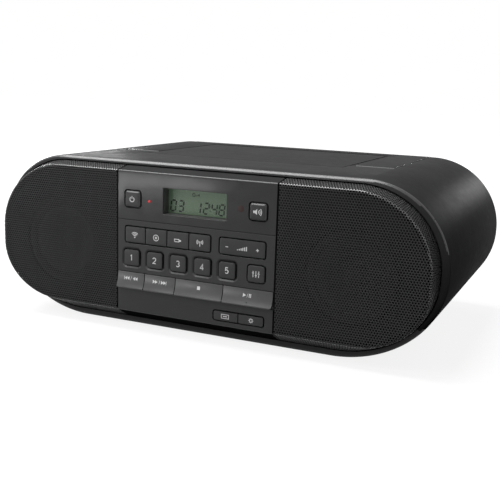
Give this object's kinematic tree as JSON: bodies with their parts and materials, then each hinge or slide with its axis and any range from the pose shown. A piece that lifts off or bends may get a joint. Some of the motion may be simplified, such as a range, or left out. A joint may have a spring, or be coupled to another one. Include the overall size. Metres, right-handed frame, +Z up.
{
  "type": "boombox",
  "caption": "Compact stereo boombox with a flush U-shaped carry handle, hinged disc lid, perforated speaker grilles, central key panel, folding aerial and rear battery bay.",
  "frame": {"origin": "on the floor under the middle of the overall box", "axes": "+X to the right seen from the front, +Y to the back, +Z up"},
  "size_m": [0.4, 0.2616, 0.142],
  "materials": {
    "shell_plastic": "satin charcoal",
    "panel_plastic": "gloss charcoal",
    "key_plastic": "satin charcoal",
    "transport_plastic": "satin dark silver",
    "grille_steel": "satin black",
    "inner_plastic": "matt black",
    "clear_plastic": "clear",
    "display_green": "grey-green",
    "lamp_red": "clear red",
    "board_green": "solder resist",
    "cone_paper": "coated paper",
    "steel": "plated",
    "aerial_chrome": "bright",
    "rubber": "matt"
  },
  "bodies": {
    "cabinet": {"main_shell": "shell_plastic", "rear_cover": "shell_plastic", "front_baffle": "inner_plastic", "control_panel": "panel_plastic", "left_grille": "grille_steel", "right_grille": "grille_steel", "display_window": "clear_plastic", "display_module": "display_green", "power_lamp": "lamp_red", "key_board": "board_green", "main_board": "board_green", "left_driver_frame": "steel", "right_driver_frame": "steel", "cd_deck": "inner_plastic", "cd_chassis": "inner_plastic", "spindle_motor": "steel", "sled_rail": "steel", "transformer": "steel", "battery_bay": "inner_plastic", "mains_inlet": "inner_plastic", "usb_socket": "inner_plastic", "phones_socket": "inner_plastic", "front_left_foot": "rubber", "front_right_foot": "rubber", "rear_left_foot": "rubber", "rear_right_foot": "rubber", "left_handle_pin": "steel", "right_handle_pin": "steel"},
    "disc_lid": {"disc_lid": "shell_plastic"},
    "disc_clamp": {"disc_clamp": "inner_plastic"},
    "handle": {"handle": "shell_plastic"},
    "aerial_base": {"aerial_base": "aerial_chrome"},
    "aerial_tube": {"aerial_tube": "aerial_chrome"},
    "aerial_mid": {"aerial_mid": "aerial_chrome"},
    "aerial_tip": {"aerial_tip": "aerial_chrome"},
    "battery_door": {"battery_door": "shell_plastic"},
    "volume_rocker": {"volume_rocker": "key_plastic"},
    "turntable": {"turntable": "inner_plastic"},
    "pickup_sled": {"pickup_sled": "inner_plastic"},
    "sled_screw": {"sled_screw": "steel"},
    "left_cone": {"left_cone": "cone_paper"},
    "right_cone": {"right_cone": "cone_paper"},
    "power_key": {"power_key": "key_plastic"},
    "boost_key": {"boost_key": "key_plastic"},
    "source_key_1": {"source_key_1": "key_plastic"},
    "source_key_2": {"source_key_2": "key_plastic"},
    "source_key_3": {"source_key_3": "key_plastic"},
    "source_key_4": {"source_key_4": "key_plastic"},
    "preset_key_1": {"preset_key_1": "key_plastic"},
    "preset_key_2": {"preset_key_2": "key_plastic"},
    "preset_key_3": {"preset_key_3": "key_plastic"},
    "preset_key_4": {"preset_key_4": "key_plastic"},
    "preset_key_5": {"preset_key_5": "key_plastic"},
    "sound_key": {"sound_key": "key_plastic"},
    "skip_back_key": {"skip_back_key": "transport_plastic"},
    "skip_forward_key": {"skip_forward_key": "transport_plastic"},
    "stop_key": {"stop_key": "transport_plastic"},
    "play_key": {"play_key": "transport_plastic"},
    "display_key": {"display_key": "key_plastic"},
    "setup_key": {"setup_key": "key_plastic"}
  },
  "joints": [
    {"name": "lid_hinge", "type": "hinge", "parent": "cabinet", "child": "disc_lid", "pos_m": [0, 0.0954, 0.1362], "axis": [-1, 0, 0], "range_deg": [0, 65]},
    {"name": "handle_hinge", "type": "hinge", "parent": "cabinet", "child": "handle", "pos_m": [0, -0.0166, 0.1352], "axis": [1, 0, 0], "range_deg": [0, 90]},
    {"name": "aerial_swivel", "type": "hinge", "parent": "cabinet", "child": "aerial_base", "pos_m": [0.15, 0.1272, 0.0984], "axis": [0, 1, 0], "range_deg": [0, 180]},
    {"name": "aerial_tilt", "type": "hinge", "parent": "aerial_base", "child": "aerial_tube", "pos_m": [0.141, 0.1272, 0.0984], "axis": [0, 0, -1], "range_deg": [0, 90]},
    {"name": "aerial_mid_slide", "type": "slide", "parent": "aerial_tube", "child": "aerial_mid", "axis": [-1, 0, 0], "range_m": [0, 0.16]},
    {"name": "aerial_tip_slide", "type": "slide", "parent": "aerial_mid", "child": "aerial_tip", "axis": [-1, 0, 0], "range_m": [0, 0.15]},
    {"name": "battery_door_lift", "type": "slide", "parent": "cabinet", "child": "battery_door", "axis": [0, 1, 0], "range_m": [0, 0.04]},
    {"name": "volume_rock", "type": "hinge", "parent": "cabinet", "child": "volume_rocker", "pos_m": [0.043, -0.1243, 0.0824], "axis": [0, 0, 1], "range_deg": [-2.5, 2.5], "stiffness_Nm_per_rad": 0.08},
    {"name": "turntable_spin", "type": "hinge", "parent": "cabinet", "child": "turntable", "pos_m": [0, 0.0295, 0.13], "axis": [0, 0, 1], "continuous": true},
    {"name": "clamp_spin", "type": "hinge", "parent": "disc_lid", "child": "disc_clamp", "pos_m": [0, 0.0295, 0.135], "axis": [0, 0, 1], "continuous": true},
    {"name": "sled_slide", "type": "slide", "parent": "cabinet", "child": "pickup_sled", "axis": [0, -1, 0], "range_m": [0, 0.034]},
    {"name": "sled_screw_turn", "type": "hinge", "parent": "cabinet", "child": "sled_screw", "pos_m": [-0.0115, -0.0125, 0.116], "axis": [0, 1, 0], "range_deg": [-10, 4090]},
    {"name": "left_cone_travel", "type": "slide", "parent": "cabinet", "child": "left_cone", "axis": [0, 1, 0], "range_m": [-0.002, 0.002], "stiffness_N_per_m": 1500},
    {"name": "right_cone_travel", "type": "slide", "parent": "cabinet", "child": "right_cone", "axis": [0, 1, 0], "range_m": [-0.002, 0.002], "stiffness_N_per_m": 1500},
    {"name": "power_key_press", "type": "slide", "parent": "cabinet", "child": "power_key", "axis": [0, 1, 0], "range_m": [0, 0.0012], "stiffness_N_per_m": 500},
    {"name": "boost_key_press", "type": "slide", "parent": "cabinet", "child": "boost_key", "axis": [0, 1, 0], "range_m": [0, 0.0012], "stiffness_N_per_m": 500},
    {"name": "source_key_1_press", "type": "slide", "parent": "cabinet", "child": "source_key_1", "axis": [0, 1, 0], "range_m": [0, 0.0012], "stiffness_N_per_m": 500},
    {"name": "source_key_2_press", "type": "slide", "parent": "cabinet", "child": "source_key_2", "axis": [0, 1, 0], "range_m": [0, 0.0012], "stiffness_N_per_m": 500},
    {"name": "source_key_3_press", "type": "slide", "parent": "cabinet", "child": "source_key_3", "axis": [0, 1, 0], "range_m": [0, 0.0012], "stiffness_N_per_m": 500},
    {"name": "source_key_4_press", "type": "slide", "parent": "cabinet", "child": "source_key_4", "axis": [0, 1, 0], "range_m": [0, 0.0012], "stiffness_N_per_m": 500},
    {"name": "preset_key_1_press", "type": "slide", "parent": "cabinet", "child": "preset_key_1", "axis": [0, 1, 0], "range_m": [0, 0.0012], "stiffness_N_per_m": 500},
    {"name": "preset_key_2_press", "type": "slide", "parent": "cabinet", "child": "preset_key_2", "axis": [0, 1, 0], "range_m": [0, 0.0012], "stiffness_N_per_m": 500},
    {"name": "preset_key_3_press", "type": "slide", "parent": "cabinet", "child": "preset_key_3", "axis": [0, 1, 0], "range_m": [0, 0.0012], "stiffness_N_per_m": 500},
    {"name": "preset_key_4_press", "type": "slide", "parent": "cabinet", "child": "preset_key_4", "axis": [0, 1, 0], "range_m": [0, 0.0012], "stiffness_N_per_m": 500},
    {"name": "preset_key_5_press", "type": "slide", "parent": "cabinet", "child": "preset_key_5", "axis": [0, 1, 0], "range_m": [0, 0.0012], "stiffness_N_per_m": 500},
    {"name": "sound_key_press", "type": "slide", "parent": "cabinet", "child": "sound_key", "axis": [0, 1, 0], "range_m": [0, 0.0012], "stiffness_N_per_m": 500},
    {"name": "skip_back_key_press", "type": "slide", "parent": "cabinet", "child": "skip_back_key", "axis": [0, 1, 0], "range_m": [0, 0.0012], "stiffness_N_per_m": 500},
    {"name": "skip_forward_key_press", "type": "slide", "parent": "cabinet", "child": "skip_forward_key", "axis": [0, 1, 0], "range_m": [0, 0.0012], "stiffness_N_per_m": 500},
    {"name": "stop_key_press", "type": "slide", "parent": "cabinet", "child": "stop_key", "axis": [0, 1, 0], "range_m": [0, 0.0012], "stiffness_N_per_m": 500},
    {"name": "play_key_press", "type": "slide", "parent": "cabinet", "child": "play_key", "axis": [0, 1, 0], "range_m": [0, 0.0012], "stiffness_N_per_m": 500},
    {"name": "display_key_press", "type": "slide", "parent": "cabinet", "child": "display_key", "axis": [0, 1, 0], "range_m": [0, 0.0012], "stiffness_N_per_m": 500},
    {"name": "setup_key_press", "type": "slide", "parent": "cabinet", "child": "setup_key", "axis": [0, 1, 0], "range_m": [0, 0.0012], "stiffness_N_per_m": 500}
  ],
  "couplings": [
    {"joint": "sled_screw_turn", "follows": "sled_slide", "rad_per_m": 2094.4}
  ]
}
